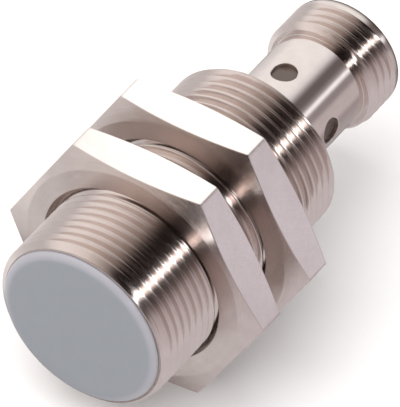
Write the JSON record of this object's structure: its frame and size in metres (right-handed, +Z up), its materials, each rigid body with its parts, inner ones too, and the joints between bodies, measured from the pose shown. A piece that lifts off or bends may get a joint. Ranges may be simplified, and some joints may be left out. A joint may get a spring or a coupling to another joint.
{
  "type": "proximity sensor",
  "caption": "Cylindrical inductive proximity sensor: threaded metal barrel with a plastic sensing face, hexagon mounting nuts and a round plug connector.",
  "frame": {"origin": "centre of the sensing face", "axes": "+Y along the barrel from the sensing face to the connector, +Z up with two flats of each nut facing up and down, +X to the right"},
  "size_m": [0.0278, 0.0446, 0.024],
  "materials": {
    "nickel_plated_brass": "satin nickel plating on turned brass",
    "grey_plastic": "fine matt moulded plastic",
    "ferrite": "sintered ferrite",
    "bobbin_plastic": "moulded plastic",
    "copper_wire": "enamelled copper wire",
    "black_plastic": "moulded glass-filled plastic",
    "board_laminate": "solder-masked laminate",
    "chip_package": "moulded epoxy",
    "ceramic": "fired ceramic",
    "led_resin": "clear tinted resin",
    "potting_resin": "cast resin",
    "seal_rubber": "moulded rubber",
    "clear_plastic": "translucent moulded plastic over a dark inside",
    "gold_plating": "gold-plated brass",
    "tinned_wire": "tinned copper with solder joints"
  },
  "bodies": {
    "sensor": {"barrel": "nickel_plated_brass", "sensing_cap": "grey_plastic", "ferrite_core": "ferrite", "coil_bobbin": "bobbin_plastic", "coil_winding": "copper_wire", "coil_leads": "copper_wire", "core_holder": "black_plastic", "circuit_board": "board_laminate", "sensor_chip": "chip_package", "output_transistor": "chip_package", "protection_diode": "chip_package", "chip_capacitors": "ceramic", "chip_resistors": "chip_package", "status_led_left": "led_resin", "status_led_right": "led_resin", "potting_compound": "potting_resin", "connector_sleeve": "nickel_plated_brass", "sleeve_seal_ring": "seal_rubber", "light_ring": "clear_plastic", "contact_insert": "black_plastic", "insert_seal_ring": "seal_rubber", "contact_pin_1": "gold_plating", "contact_pin_2": "gold_plating", "contact_pin_3": "gold_plating", "contact_pin_4": "gold_plating", "connector_leads": "tinned_wire"},
    "front_nut": {"front_nut": "nickel_plated_brass"},
    "rear_nut": {"rear_nut": "nickel_plated_brass"}
  },
  "joints": [
    {"name": "front_nut_travel", "type": "slide", "parent": "sensor", "child": "front_nut", "axis": [0, 1, 0], "range_m": [-0.0075, 0.0018]},
    {"name": "rear_nut_travel", "type": "slide", "parent": "sensor", "child": "rear_nut", "axis": [0, 1, 0], "range_m": [-0.0018, 0.0081]}
  ]
}
